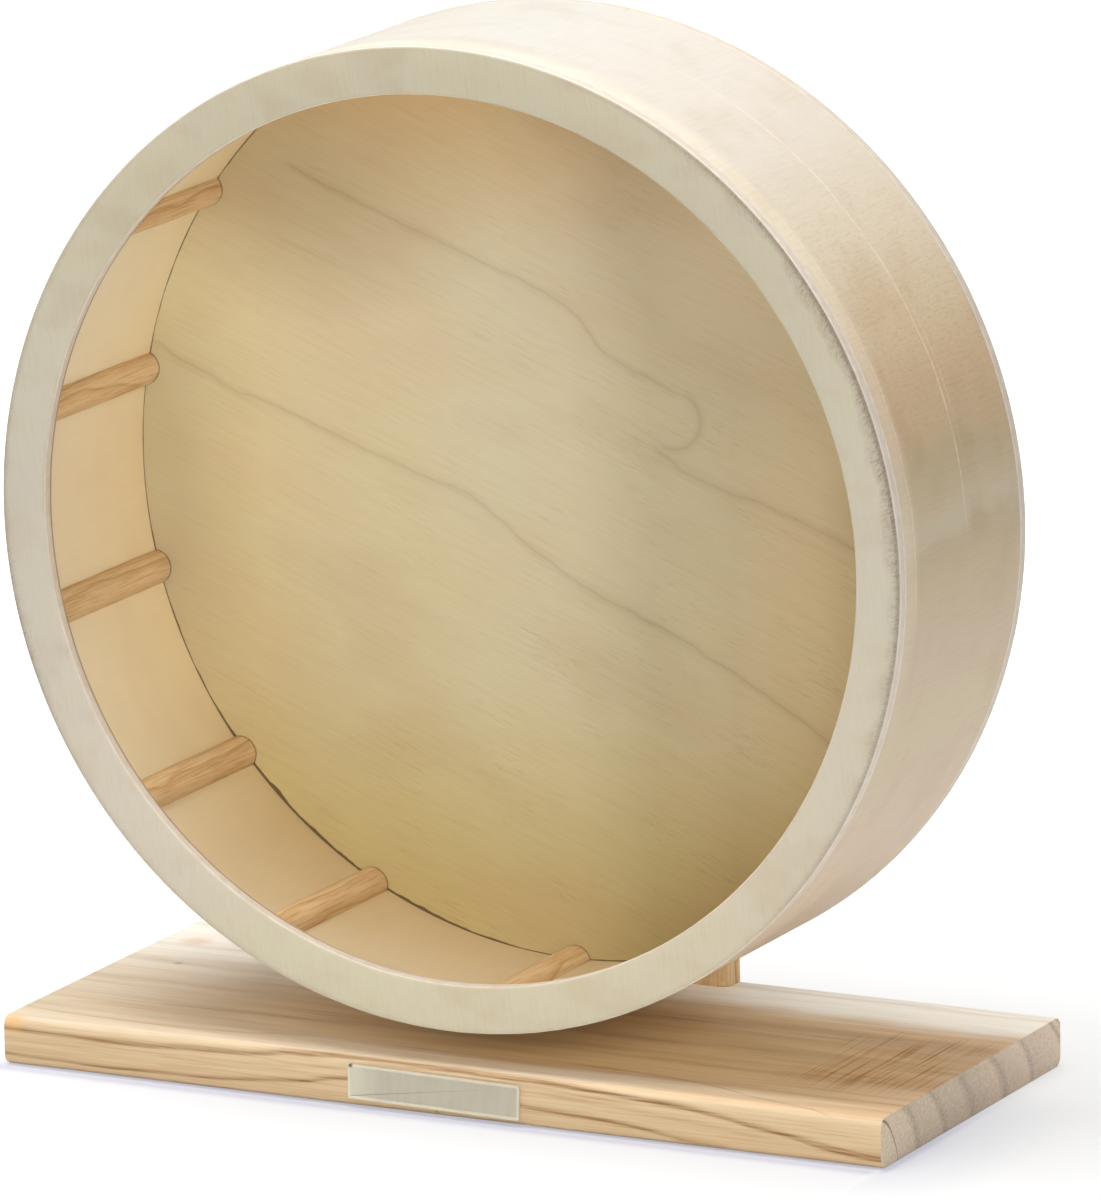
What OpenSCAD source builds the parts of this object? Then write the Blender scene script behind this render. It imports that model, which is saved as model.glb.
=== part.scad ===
// Exercise wheel for a small rodent: a plywood drum on a ball bearing hub,
// carried by an upright post on a solid pine base board.
// The front of the wheel looks along -Y, the base stands on Z = 0, and the
// origin lies under the axle, midway between the base board's long edges.
// Sizes are millimetres.

/* [Wheel] */
// Outer diameter of the wheel
wheel_d = 270; // [200:1:320]
// Width of the running surface between front ring and back disc
run_w = 72; // [50:1:120]
// Width of the front ring, measured from its rim to its hole
ring_w = 13; // [9:0.5:24]
// Thickness of the front ring
ring_t = 4; // [3:0.5:8]
// Thickness of the back disc
disc_t = 4; // [3:0.5:8]
// Thickness of the bent sheet that is the running surface
skin_t = 2; // [1:0.5:4]
// Width of the butt joint where the bent sheet meets its own end
skin_joint_w = 0.3; // [0.2:0.1:1.5]
// Radius of the sanded edges on the ring and the disc
ease_r = 0.8; // [0.3:0.1:1.4]

/* [Rungs] */
// Number of rungs round the running surface
rung_count = 15; // [8:1:22]
// Diameter of the dowel that is split to make the rungs
rung_d = 9.6; // [6:0.2:14]
// Height of each rung above the running surface
rung_h = 4; // [2:0.5:6]
// Angle of the first rung, counted from the right and upwards
first_rung = 147; // [100:1:200]

/* [Base board] */
// Length of the base board, from left to right
base_l = 267; // [200:1:360]
// How far the middle of the base board lies to the left of the axle
base_shift = 5; // [0:0.5:20]
// Thickness of the base board
base_t = 14; // [12:1:24]
// Radius along the long edges of base board and post
edge_r = 3; // [1:0.5:4.5]
// Gap between the wheel and the top of the base board
wheel_gap = 10; // [4:1:30]
// How far the front ring stands behind the base board's front edge
front_inset = 1; // [0:0.5:20]

/* [Upright post] */
// Width of the post
post_w = 64; // [50:1:100]
// Thickness of the post
post_t = 10; // [10:1:20]
// Height of the post above the axle
post_over_axle = 32; // [25:1:60]
// Radius of the post's two top corners
post_corner_r = 14; // [5:1:24]

/* [Hub] */
// Diameter of the hub block behind the disc
hub_d = 64; // [50:1:90]
// Chamfer on the rear edge of the hub block
hub_chamfer = 2; // [0.5:0.5:5]
// Diameter of the cover that keeps the bearings in the hub block
cover_d = 42; // [40:1:48]
// Thickness of that cover
cover_t = 1.5; // [1.5:0.5:3]
// Gap between the cover and the post
cover_gap = 2; // [1:0.5:8]

/* [Bearings] */
// Bore of each ball bearing
bearing_id = 8; // [7:0.5:10]
// Outer diameter of each ball bearing
bearing_od = 22; // [22:0.5:26]
// Width of each ball bearing
bearing_w = 7; // [6:0.5:10]
// Diameter of one ball
ball_d = 3.96; // [3:0.02:4]
// Number of balls in one bearing
ball_count = 7; // [5:1:8]

/* [Axle] */
// Width across the flats of the bolt head and the nut
hex_af = 13; // [12:0.5:14]
// Height of the bolt head
bolt_head_h = 5.3; // [4:0.1:8]
// Thickness of the shim ring between bolt head and bearing
shim_t = 1; // [0.5:0.1:2]
// Height of the nut
nut_h = 6.5; // [5:0.5:9]
// Length of bolt that shows past the nut
bolt_past_nut = 3; // [1:0.5:12]
// Diameter of the washer under the nut
washer_d = 24; // [16:1:40]
// Thickness of that washer
washer_t = 2; // [1:0.5:4]

/* [Screws] */
// Diameter of the two screws that hold the post
post_screw_d = 3; // [2.5:0.5:4]
// Length of the two screws that hold the post
post_screw_l = 35; // [26:1:45]
// Distance between the two screws that hold the post
post_screw_gap = 40; // [20:1:46]
// Diameter of the screws that hold the cover
cover_screw_d = 3; // [2:0.5:3.5]
// Length of the screws that hold the cover
cover_screw_l = 12; // [8:1:18]
// Number of screws that hold the cover
cover_screw_count = 3; // [3:1:6]

/* [Label plate] */
// Length of the bare label plate
label_l = 52; // [30:1:90]
// Height of the bare label plate
label_h = 9.6; // [6:0.1:11]
// Thickness of the bare label plate
label_t = 0.8; // [0.4:0.1:2]
// Corner radius of the bare label plate
label_corner_r = 0.6; // [0.2:0.1:3]
// How far the middle of the plate lies from the middle of the base board
label_x = 0; // [-60:0.1:60]
// How far the plate is turned down at its right end, in degrees
label_tilt = 0.8; // [0:0.1:3]

/* [Hidden] */
// Facets on a small circle, and on one as large as the wheel.
$fn = 96;
wheel_fn = 360;

// Clearance of a pushed fit, of a clearance hole and of the balls in their
// grooves, and the gap between a shield and the race that turns past it.
push_fit = 0.02;
hole_fit = 0.1;
run_fit = 0.06;
shield_gap = 0.3;

// How far a cut runs past the face that it opens.
over = 1;

// How the hand-glued rungs stand off an even pitch, in degrees, from the first
// rung onwards. Rungs past the end of the list stand exactly on the pitch.
rung_drift = [-1.1, -0.9, -0.5, 0.1, -1.2, 2.8];

// Radii of the drum.
wheel_r = wheel_d / 2;
ring_in_r = wheel_r - ring_w;
skin_in_r = wheel_r - skin_t;
rung_r = rung_d / 2;

// The space behind the bolt head, and the hub's thickness that follows from it.
head_clear = 1.2;
head_pocket = head_clear + bolt_head_h + shim_t;
hub_t = head_pocket + 2 * bearing_w;

// Stations along Y, from the front edge of the base board to its rear edge.
wheel_w = ring_t + run_w + disc_t;
base_w = front_inset + wheel_w + hub_t + cover_t + cover_gap + post_t;
front_y = -base_w / 2;
rear_y = base_w / 2;
ring_y = front_y + front_inset;
skin_y = ring_y + ring_t;
disc_y = skin_y + run_w;
hub_y = disc_y + disc_t;
head_y = hub_y + head_clear + bolt_head_h;
front_bearing_y = head_y + shim_t;
rear_bearing_y = front_bearing_y + bearing_w;
cover_y = hub_y + hub_t;
post_y = rear_y - post_t;
post_mid_y = rear_y - post_t / 2;

// Heights.
axle_z = base_t + wheel_gap + wheel_r;
post_top_z = axle_z + post_over_axle;

// Bearing section: both races are as thick, and the balls run midway.
race_t = 2;
pitch_r = (bearing_id + bearing_od) / 4;
ball_r = ball_d / 2;
groove_r = ball_r + run_fit;
inner_race_r = bearing_id / 2 + race_t;
outer_race_r = bearing_od / 2 - race_t;
shield_t = 0.3;
shield_inset = 0.2;

// Cage section, from the bearing's mid-plane: its fingers reach past the middle
// of the balls, and its closed side stays clear of the races and the shield.
cage_side_gap = 0.6;
cage_back_gap = 0.4;
cage_start = -ball_r * 0.6;
cage_end = bearing_w / 2 - shield_inset - shield_t - cage_back_gap;

// Axle section.
bolt_fit = 0.05;
bolt_r = bearing_id / 2 - bolt_fit;
bolt_l = rear_y + washer_t + nut_h + bolt_past_nut - head_y;
hex_r = hex_af / 2 / cos(30);
head_side_gap = 1.5;
head_pocket_r = hex_r + head_side_gap;
cover_side_gap = 1.5;
cover_hole_r = inner_race_r + cover_side_gap;
bolt_point = 1;

// Screw circle on the cover, midway between the bearing and the cover's rim.
cover_screw_r = (bearing_od / 2 + cover_d / 2) / 2;

// Wood screws: head and point as shares of the thread's diameter, the cross
// slot as shares of the head, and how deep the head is sunk.
screw_head_k = 1.9;
screw_point_k = 1.5;
screw_tip_r = 0.1;
slot_l_k = 1.2;
slot_w_k = 0.12;
slot_h_k = 1.2;
screw_sink = 0.2;

// The joint of the bent sheet lies under the third rung.
skin_joint_a = rung_angle(3);

function rung_name(i) = str("rung_", i < 10 ? "0" : "", i);

function rung_angle(i) =
    first_rung + (i - 1) * 360 / rung_count + (i <= len(rung_drift) ? rung_drift[i - 1] : 0);

// Puts a shape on the axle. Its X and Y become the front view's X and Z, and
// its Z runs back from the station y.
module on_axle(y) {
    translate([0, y, axle_z])
        rotate([90, 0, 0])
            mirror([0, 0, 1])
                children();
}

// A round bar or hole along the local Z axis.
module rod(r, z0, z1) {
    translate([0, 0, z0])
        cylinder(r = r, h = z1 - z0);
}

// A ring round the local Z axis.
module tube(r_in, r_out, z0, z1) {
    translate([0, 0, z0])
        linear_extrude(z1 - z0)
            difference() {
                circle(r = r_out);
                circle(r = r_in);
            }
}

// A rectangle about its centre with round corners, made of true arcs.
module round_rect(w, h, r) {
    square([w - 2 * r, h], center = true);
    square([w, h - 2 * r], center = true);
    for (sx = [-1, 1], sy = [-1, 1])
        translate([sx * (w / 2 - r), sy * (h / 2 - r)])
            circle(r = r);
}

// The cross-section of a sheet whose corners at y = 0 are eased.
module eased_section(x0, x1, t, ease_in, ease_out) {
    e = min(ease_r, t / 2);
    translate([x0, e])
        square([x1 - x0, t - e]);
    translate([x0 + (ease_in ? e : 0), 0])
        square([x1 - x0 - (ease_in ? e : 0) - (ease_out ? e : 0), t]);
    if (ease_in)
        translate([x0 + e, e])
            circle(r = e);
    if (ease_out)
        translate([x1 - e, e])
            circle(r = e);
}

// A countersunk wood screw that points along +Z, with its head at z = 0.
module wood_screw(d, l) {
    head_r = screw_head_k * d / 2;
    head_h = head_r - d / 2;
    difference() {
        union() {
            cylinder(r1 = head_r, r2 = d / 2, h = head_h);
            rod(d / 2, head_h, l - screw_point_k * d);
            translate([0, 0, l - screw_point_k * d])
                cylinder(r1 = d / 2, r2 = screw_tip_r, h = screw_point_k * d);
        }
        for (a = [0, 90])
            rotate(a)
                cube([slot_l_k * head_r, slot_w_k * head_r * 2, slot_h_k * head_h], center = true);
    }
}

// The hole for such a screw when its head is sunk below z = 0.
module screw_hole(d, l) {
    hole_r = d / 2 + hole_fit;
    head_r = screw_head_k * d / 2 + hole_fit;
    rod(head_r, -over, screw_sink);
    translate([0, 0, screw_sink])
        cylinder(r1 = head_r, r2 = hole_r, h = head_r - hole_r);
    rod(hole_r, 0, l + 2 * screw_sink);
}

// A hexagon whose corners are chamfered at z = h.
module hex_head(h) {
    chamfer_h = (hex_r - hex_af / 2) * tan(30);
    intersection() {
        cylinder(r = hex_r, h = h, $fn = 6);
        union() {
            rod(hex_r, 0, h - chamfer_h);
            translate([0, 0, h - chamfer_h])
                cylinder(r1 = hex_r, r2 = hex_af / 2, h = chamfer_h);
        }
    }
}

// Places the screws of the cover.
module at_cover_screws() {
    for (i = [0:cover_screw_count - 1])
        rotate(90 + i * 360 / cover_screw_count)
            translate([cover_screw_r, 0, 0])
                children();
}

// Places the screws of the post.
module at_post_screws() {
    for (sx = [-1, 1])
        translate([sx * post_screw_gap / 2, post_mid_y, 0])
            children();
}

// Base board: a planed pine board with rounded long edges and sawn ends.
module base_board() {
    color("#DDBE92")
        difference() {
            translate([-base_l / 2 - base_shift, 0, base_t / 2])
                rotate([90, 0, 90])
                    linear_extrude(base_l)
                        round_rect(base_w, base_t, edge_r);
            at_post_screws()
                screw_hole(post_screw_d, post_screw_l);
        }
}

// Upright post: a narrow board on end, flush with the rear of the base board.
module upright_post() {
    post_h = post_top_z - base_t;
    color("#D2A873")
        difference() {
            intersection() {
                translate([0, post_mid_y, base_t])
                    linear_extrude(post_h)
                        round_rect(post_w, post_t, edge_r);
                translate([0, post_y, base_t])
                    rotate([90, 0, 0])
                        mirror([0, 0, 1])
                            linear_extrude(post_t)
                                post_outline(post_h);
            }
            on_axle(post_y)
                rod(bolt_r + hole_fit, -over, post_t + over);
            at_post_screws()
                screw_hole(post_screw_d, post_screw_l);
        }
}

// The post seen from the front: straight sides and two rounded top corners.
module post_outline(h) {
    translate([-post_w / 2, 0])
        square([post_w, h - post_corner_r]);
    translate([-post_w / 2 + post_corner_r, 0])
        square([post_w - 2 * post_corner_r, h]);
    for (sx = [-1, 1])
        translate([sx * (post_w / 2 - post_corner_r), h - post_corner_r])
            circle(r = post_corner_r);
}

// Two countersunk screws that come up through the base board into the post.
module post_screws() {
    color("#B9B6AE")
        at_post_screws()
            translate([0, 0, screw_sink])
                wood_screw(post_screw_d, post_screw_l);
}

// Bare plate glued to the front edge of the base board.
module label_plate() {
    color("#E6D8BC")
        translate([label_x - base_shift, front_y, base_t / 2])
            rotate([90, 0, 0])
                rotate(-label_tilt)
                    linear_extrude(label_t)
                        round_rect(label_l, label_h, label_corner_r);
}

// Axle bolt: its head sits in the hub block, its thread ends behind the nut.
module axle_bolt() {
    color("#B8B9BB")
        on_axle(head_y) {
            mirror([0, 0, 1])
                hex_head(bolt_head_h);
            rod(bolt_r, -bolt_head_h / 2, bolt_l - bolt_point);
            translate([0, 0, bolt_l - bolt_point])
                cylinder(r1 = bolt_r, r2 = bolt_r - bolt_point, h = bolt_point);
        }
}

// Shim ring that keeps the bolt head off everything but the inner race.
module head_shim() {
    color("#C6C7C8")
        on_axle(head_y)
            tube(bolt_r + push_fit, inner_race_r, 0, shim_t);
}

// Wide washer that spreads the nut's load on the rear of the post.
module axle_washer() {
    color("#BFC0C1")
        on_axle(rear_y)
            tube(bolt_r + hole_fit, washer_d / 2, 0, washer_t);
}

// Nut behind the post: it clamps the axle, and loosens to take the wheel off.
module axle_nut() {
    color("#B2B3B5")
        on_axle(rear_y + washer_t)
            difference() {
                hex_head(nut_h);
                rod(bolt_r + push_fit, -over, nut_h + over);
            }
}

// Sleeve between the rear inner race and the post.
module post_spacer() {
    color("#C6C7C8")
        on_axle(cover_y)
            tube(bolt_r + push_fit, inner_race_r, 0, cover_t + cover_gap);
}

// Inner race with its ball groove.
module inner_race(y) {
    color("#A9ABAE")
        on_axle(y)
            rotate_extrude()
                difference() {
                    translate([bearing_id / 2, 0])
                        square([race_t, bearing_w]);
                    translate([pitch_r, bearing_w / 2])
                        circle(r = groove_r);
                }
}

// Outer race with its ball groove.
module outer_race(y) {
    color("#9FA1A4")
        on_axle(y)
            rotate_extrude()
                difference() {
                    translate([outer_race_r, 0])
                        square([race_t, bearing_w]);
                    translate([pitch_r, bearing_w / 2])
                        circle(r = groove_r);
                }
}

// The balls of one bearing.
module balls(y) {
    color("#D5D7DA")
        on_axle(y + bearing_w / 2)
            for (i = [0:ball_count - 1])
                rotate(i * 360 / ball_count)
                    translate([pitch_r, 0, 0])
                        sphere(r = ball_r);
}

// The cage that keeps the balls apart, open towards the front.
module cage(y) {
    color("#D8CEB2")
        on_axle(y + bearing_w / 2)
            difference() {
                tube(inner_race_r + cage_side_gap, outer_race_r - cage_side_gap, cage_start, cage_end);
                for (i = [0:ball_count - 1])
                    rotate(i * 360 / ball_count)
                        translate([pitch_r, 0, 0])
                            sphere(r = ball_r + hole_fit);
            }
}

// Four thin shields, one in each side of both bearings.
module bearing_shields() {
    color("#C9CACB")
        for (y = [front_bearing_y, rear_bearing_y], z = [shield_inset, bearing_w - shield_inset - shield_t])
            on_axle(y)
                tube(inner_race_r + shield_gap, outer_race_r - push_fit, z, z + shield_t);
}

// Front ring: a flat plywood ring with its front edges sanded round.
module front_ring() {
    color("#CFC7AE")
        on_axle(ring_y)
            rotate_extrude($fn = wheel_fn)
                eased_section(ring_in_r, wheel_r, ring_t, true, true);
}

// Bent sheet between ring and disc: its inside is the running surface.
module rim_skin() {
    color("#E3CDA2")
        on_axle(skin_y)
            difference() {
                tube(skin_in_r, wheel_r, 0, run_w, $fn = wheel_fn);
                rotate(skin_joint_a)
                    translate([skin_in_r - over, -skin_joint_w / 2, -over])
                        cube([skin_t + 2 * over, skin_joint_w, run_w + 2 * over]);
            }
}

// Back disc: a full plywood disc, sanded round at its rear edge.
module back_disc() {
    color("#C9B183")
        on_axle(hub_y)
            mirror([0, 0, 1])
                rotate_extrude($fn = wheel_fn)
                    eased_section(0, wheel_r, disc_t, false, true);
}

// Rung: a split dowel whose flat side is hollowed to lie on the bent sheet.
module rung(i) {
    color("#CC9E62")
        on_axle(skin_y)
            linear_extrude(run_w)
                intersection() {
                    rotate(rung_angle(i))
                        translate([skin_in_r - rung_h + rung_r, 0])
                            circle(r = rung_r);
                    circle(r = skin_in_r, $fn = wheel_fn);
                }
}

// Hub block: turned wood, glued to the disc, bored for the two bearings.
module hub_block() {
    color("#C8A878")
        on_axle(hub_y)
            difference() {
                union() {
                    rod(hub_d / 2, 0, hub_t - hub_chamfer);
                    translate([0, 0, hub_t - hub_chamfer])
                        cylinder(r1 = hub_d / 2, r2 = hub_d / 2 - hub_chamfer, h = hub_chamfer);
                }
                rod(head_pocket_r, -over, head_pocket + over);
                rod(bearing_od / 2 + push_fit, head_pocket, hub_t + over);
                translate([0, 0, hub_t + cover_t])
                    at_cover_screws()
                        mirror([0, 0, 1])
                            screw_hole(cover_screw_d, cover_screw_l);
            }
}

// Cover: a steel ring that keeps the bearings from walking out of the block.
module bearing_cover() {
    color("#B5B7B9")
        on_axle(cover_y)
            difference() {
                tube(cover_hole_r, cover_d / 2, 0, cover_t);
                translate([0, 0, cover_t])
                    at_cover_screws()
                        mirror([0, 0, 1])
                            screw_hole(cover_screw_d, cover_screw_l);
            }
}

// Screws that hold the cover.
module cover_screws() {
    color("#A6A7A9")
        on_axle(cover_y + cover_t)
            at_cover_screws()
                mirror([0, 0, 1])
                    translate([0, 0, screw_sink])
                        wood_screw(cover_screw_d, cover_screw_l);
}

base_board();
upright_post();
post_screws();
label_plate();
axle_bolt();
head_shim();
axle_washer();
axle_nut();
post_spacer();
inner_race(front_bearing_y);  // front_inner_race
inner_race(rear_bearing_y);  // rear_inner_race
front_ring();
rim_skin();
back_disc();
for (i = [1:rung_count])
    rung(i);
hub_block();
outer_race(front_bearing_y);  // front_outer_race
outer_race(rear_bearing_y);  // rear_outer_race
bearing_shields();
bearing_cover();
cover_screws();
balls(front_bearing_y);  // front_balls
cage(front_bearing_y);  // front_cage
balls(rear_bearing_y);  // rear_balls
cage(rear_bearing_y);  // rear_cage
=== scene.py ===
import math

import bmesh
import bpy
from mathutils import Matrix, Vector, noise


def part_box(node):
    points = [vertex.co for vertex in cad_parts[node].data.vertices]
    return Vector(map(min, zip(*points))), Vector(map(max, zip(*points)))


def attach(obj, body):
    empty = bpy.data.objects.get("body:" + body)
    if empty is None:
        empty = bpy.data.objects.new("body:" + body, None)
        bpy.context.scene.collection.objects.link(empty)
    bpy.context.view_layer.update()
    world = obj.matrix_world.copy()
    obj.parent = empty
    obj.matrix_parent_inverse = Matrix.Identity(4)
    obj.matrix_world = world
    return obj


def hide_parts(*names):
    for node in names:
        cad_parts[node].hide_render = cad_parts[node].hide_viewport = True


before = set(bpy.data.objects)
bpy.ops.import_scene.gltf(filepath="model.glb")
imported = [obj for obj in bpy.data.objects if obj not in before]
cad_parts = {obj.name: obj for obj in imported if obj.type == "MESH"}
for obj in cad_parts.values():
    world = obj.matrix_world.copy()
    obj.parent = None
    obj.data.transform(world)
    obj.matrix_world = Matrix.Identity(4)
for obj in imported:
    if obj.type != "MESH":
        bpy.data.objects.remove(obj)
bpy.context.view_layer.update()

# A wooden running wheel on a board. Front is -Y, the axle runs along Y, all lengths are metres.
mm = 0.001
weld = 0.002 * mm            # points nearer than this are one
leastTurn = 40               # degrees; only edges that turn more than this are eased

boltLow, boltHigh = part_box("axle_bolt")
axle = Vector((0, 0, (boltLow.z + boltHigh.z) / 2))
ringLow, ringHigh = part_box("front_ring")
skinLow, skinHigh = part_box("rim_skin")
discLow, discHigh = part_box("back_disc")
boardLow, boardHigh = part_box("base_board")
wheelRadius = ringHigh.x

shot = {
    "target": (0.03208, -0.057, 0.14668),
    "azimuth": 26.944,         # degrees round from straight ahead
    "elevation": 13.004,
    "roll": -0.884,
    "distance": 3.1153,
    "lens": 350.67,            # for a frame 36 mm high
    "frameHeight": 36.0,
}

studio = {
    "floorSize": 30.0,
    "floorDrop": 0.1 * mm,
    "floorTone": "#9C9B98",
    "floorLift": 0.56,
    "shadowAt": (0.1, -0.05, 0.0),
    "contact": {
        # the painted soft shadow on the floor at some mm from the board: before it, and beside its right
        # end
        "front": [(0, 1.0), (3, 0.95), (5, 0.5), (7, 0.28), (13, 0.22), (20, 0.19), (30, 0.09), (40, 0.0)],
        "right": [(0, 1.0), (1.2, 0.9), (3, 0.5), (12, 0.32), (22, 0.15), (32, 0.0)],
    },
    "walls": {
        # where each soft wall of light stands, and how strong it is
        "ceiling": ((0, 0, 1), 0.02),
        "left": ((-1, 0, 0), 0.56),
        "right": ((1, 0, 0), 0.025),
        "front": ((0, -1, 0), 0.055),
        "rear": ((0, 1, 0), 0.03),
    },
    "lamps": {
        # place, length and width, watts
        "overhead": ((-0.25, -0.35, 1.9), (1.2, 1.2), 30.0),
        "overStrip": ((0.0, -0.05, 1.9), (3.0, 0.3), 16.0),
        "overRear": ((0.0, 0.9, 1.7), (1.2, 1.2), 5.6),
        "frontStrip": ((0.0, -1.3, 1.6), (3.0, 0.4), 6.0),
        "frontRight": ((1.7, -2.4, 1.2), (1.4, 1.4), 39.0),
        "frontLow": ((0.5, -2.8, 0.4), (1.0, 1.0), 2.0),
    },
}


# Camera, light and floor

def addShot():
    camera = bpy.data.objects.new("camera", bpy.data.cameras.new("camera"))
    bpy.context.scene.collection.objects.link(camera)
    azimuth = math.radians(shot["azimuth"])
    elevation = math.radians(shot["elevation"])
    turn = Matrix.Rotation(azimuth, 3, "Z") @ Matrix.Rotation(math.pi / 2 - elevation, 3, "X")
    turn = turn @ Matrix.Rotation(math.radians(shot["roll"]), 3, "Z")
    place = Vector(shot["target"]) + turn @ Vector((0, 0, shot["distance"]))
    camera.matrix_world = Matrix.Translation(place) @ turn.to_4x4()
    camera.data.sensor_fit = "VERTICAL"
    camera.data.sensor_height = shot["frameHeight"]
    camera.data.lens = shot["lens"]
    camera.data.clip_end = 60
    bpy.context.scene.camera = camera


def addStudio():
    scene = bpy.context.scene
    scene.view_settings.view_transform = "Standard"
    world = bpy.data.worlds.new("paleStudio")
    scene.world = world
    world.use_nodes = True
    tree = world.node_tree
    tree.nodes.clear()
    sky = add(tree, "TexCoord", {}).outputs["Generated"]
    glow = 0.0
    for direction, strength in studio["walls"].values():
        toward = add(tree, "VectorMath", {"operation": "DOT_PRODUCT", 0: sky, 1: direction})
        lobe = add(tree, "MapRange", {"Value": toward.outputs["Value"], "To Max": strength})
        glow = add(tree, "Math", {"operation": "ADD", 0: lobe, 1: glow})
    light = add(tree, "Background", {"Color": "#FFFFFF", "Strength": glow})
    # the studio wall itself is white where the camera looks past the floor
    wall = add(tree, "Background", {"Color": "#FFFFFF", "Strength": 1.0})
    seen = add(tree, "LightPath", {}).outputs["Is Camera Ray"]
    add(tree, "OutputWorld", {"Surface": add(tree, "MixShader", {"Fac": seen, 1: light, 2: wall})})
    for name, (place, size, watts) in studio["lamps"].items():
        lamp = bpy.data.lights.new(name, "AREA")
        lamp.shape = "ELLIPSE" if size[0] == size[1] else "RECTANGLE"
        lamp.size = size[0]
        lamp.size_y = size[1]
        lamp.energy = watts
        holder = bpy.data.objects.new(name, lamp)
        holder.location = place
        back = (holder.location - Vector(shot["target"])).normalized()
        rise = back.cross(Vector((1, 0, 0))).normalized()
        side = rise.cross(back)                # the long side lies along X
        holder.rotation_euler = Matrix((side, rise, back)).transposed().to_euler()
        scene.collection.objects.link(holder)
    bm = bmesh.new()
    bmesh.ops.create_grid(bm, x_segments=1, y_segments=1, size=studio["floorSize"] / 2)
    bmesh.ops.translate(bm, verts=bm.verts, vec=(0, 0, -studio["floorDrop"]))
    mesh = bpy.data.meshes.new("floor")
    bm.to_mesh(mesh)
    bm.free()
    floor = bpy.data.objects.new("floor", mesh)
    scene.collection.objects.link(floor)
    mesh.materials.append(paperSweep())


# Materials

def paint(colour):
    parts = [int(colour[i:i + 2], 16) / 255 for i in (1, 3, 5)]
    linear = [part / 12.92 if part <= 0.04045 else ((part + 0.055) / 1.055) ** 2.4 for part in parts]
    return (*linear, 1.0)


def add(tree, kind, settings):
    # a lower case key is the node's own setting, any other key is a socket, by name or by place;
    # a socket takes a number, a colour as sRGB hex, or what another node gives
    node = tree.nodes.new("ShaderNode" + kind)
    stops = settings.get("stops")
    curve = settings.get("curve")
    for key, value in settings.items():
        if isinstance(key, str) and key[0].islower() and key not in ("stops", "curve"):
            setattr(node, key, value)
    for key, value in settings.items():
        if isinstance(key, str) and key[0].islower():
            continue
        socket = node.inputs[key] if isinstance(key, int) else next(
            s for s in node.inputs if s.name == key and s.enabled)
        if isinstance(value, bpy.types.Node):
            value = next(s for s in value.outputs if s.enabled)
        if isinstance(value, bpy.types.NodeSocket):
            tree.links.new(value, socket)
        else:
            socket.default_value = paint(value) if isinstance(value, str) else value
    if stops:
        ramp = node.color_ramp.elements
        while len(ramp) < len(stops):
            ramp.new(1.0)
        for step, (position, shade) in zip(ramp, stops):
            step.position = position
            step.color = paint(shade) if isinstance(shade, str) else (shade, shade, shade, 1.0)
    if curve:
        points = node.mapping.curves[0].points
        while len(points) < len(curve):
            points.new(0.5, 0.5)
        for point, place in zip(points, curve):
            point.location = place
        node.mapping.update()
    return node


def startMaterial(name):
    material = bpy.data.materials.new(name)
    material.use_nodes = True
    material.node_tree.nodes.clear()
    tree = material.node_tree
    return material, tree, add(tree, "TexCoord", {}).outputs["Object"]


bareWood = {"Specular IOR Level": 0.3}


def endMaterial(tree, colour, rough, height, depth, more):
    # the relief is so many mm deep
    bump = add(tree, "Bump", {"Strength": 1.0, "Distance": depth * mm, "Height": height})
    surface = add(tree, "BsdfPrincipled", {
        "Base Color": colour, "Roughness": rough, "Normal": bump, **more})
    add(tree, "OutputMaterial", {"Surface": surface})


def counted(tree, operation, *values):
    # one value is taken alone, more are worked through in turn
    if len(values) == 1:
        return add(tree, "Math", {"operation": operation, 0: values[0]})
    total = values[0]
    for value in values[1:]:
        total = add(tree, "Math", {"operation": operation, 0: total, 1: value})
    return total


def plus(tree, *values):
    return counted(tree, "ADD", *values)


def minus(tree, *values):
    return counted(tree, "SUBTRACT", *values)


def times(tree, *values):
    return counted(tree, "MULTIPLY", *values)


def most(tree, *values):
    return counted(tree, "MAXIMUM", *values)


def flatLength(tree, a, b):
    # how long the step (a, b) is
    step = add(tree, "CombineXYZ", {"X": a, "Y": b})
    return add(tree, "VectorMath", {"operation": "LENGTH", "Vector": step}).outputs["Value"]


def mixed(tree, factor, under, over, blend="MIX"):
    return add(tree, "Mix", {
        "data_type": "RGBA", "blend_type": blend, "Factor": factor, "A": under, "B": over})


def span(tree, value, low, high, start=0.0, end=1.0):
    return add(tree, "MapRange", {
        "Value": value, "From Min": low, "From Max": high, "To Min": start, "To Max": end})


def tones(tree, value, steps):
    # shades at given values, blended in between
    low, high = steps[0][0], steps[-1][0]
    stops = [((at - low) / (high - low), shade) for at, shade in steps]
    return add(tree, "ValToRGB", {"Fac": span(tree, value, low, high), "stops": stops})


def tinted(tree, amount, colour, value, steps):
    # a colour multiplied by the shade that goes with a value
    return mixed(tree, amount, colour, tones(tree, value, steps), "MULTIPLY")


def inMm(tree, place, centre=(0, 0, 0), turn=(0, 0, 0)):
    # the place in millimetres from a centre, turned into the run of the grain
    space = add(tree, "Mapping", {
        "vector_type": "TEXTURE", "Vector": place, "Location": centre,
        "Rotation": [math.radians(angle) for angle in turn], "Scale": (mm, mm, mm)})
    axes = add(tree, "SeparateXYZ", {"Vector": space})
    return space, *(axes.outputs[name] for name in "XYZ")


def grit(tree, space, sizes, detail=3.0, rough=0.5, twist=0.0):
    # noise whose features are about so many millimetres long in X, Y and Z
    stretched = add(tree, "Mapping", {"vector_type": "TEXTURE", "Vector": space, "Scale": sizes})
    return add(tree, "TexNoise", {
        "Vector": stretched, "Scale": 1.0, "Detail": detail, "Roughness": rough, "Distortion": twist})


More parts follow.
